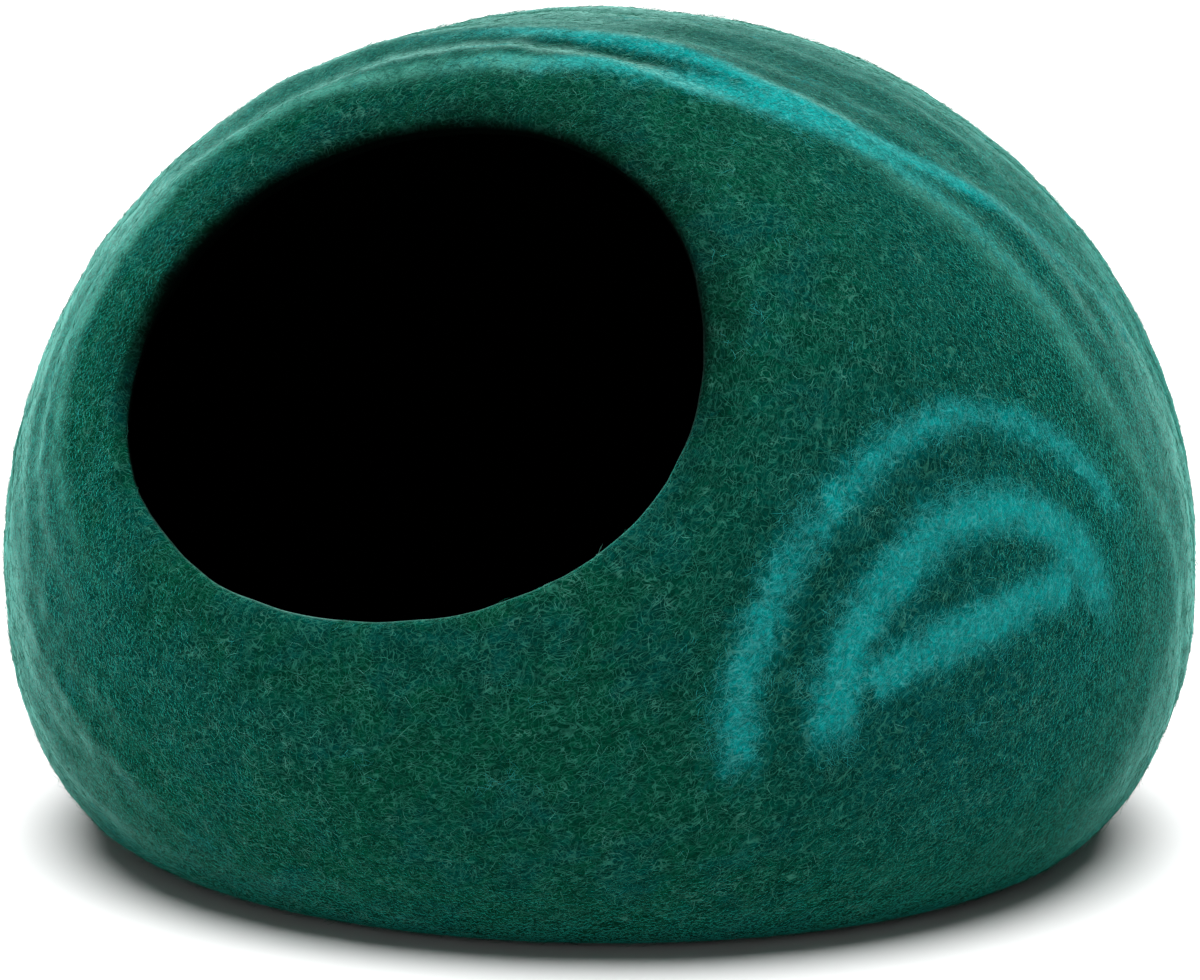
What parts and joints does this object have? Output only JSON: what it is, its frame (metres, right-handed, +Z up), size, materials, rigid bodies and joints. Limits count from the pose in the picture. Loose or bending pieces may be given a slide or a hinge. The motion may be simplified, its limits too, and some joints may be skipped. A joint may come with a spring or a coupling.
{
  "type": "felt cat cave",
  "caption": "One-piece wool felt pet cave: a low dome with a flat floor and a large round hooded mouth tilted upward at the front.",
  "frame": {"origin": "centre of the footprint, on the surface that the cave stands on", "axes": "+Z up, the mouth looks along -Y and 30 degrees upward, +X to the left of a pet that looks out"},
  "size_m": [0.4002, 0.3912, 0.2752],
  "materials": {
    "wool_felt": "matte fuzzy emerald wool felt with turquoise bands"
  },
  "bodies": {
    "root": {"felt_cave": "wool_felt"}
  },
  "joints": []
}
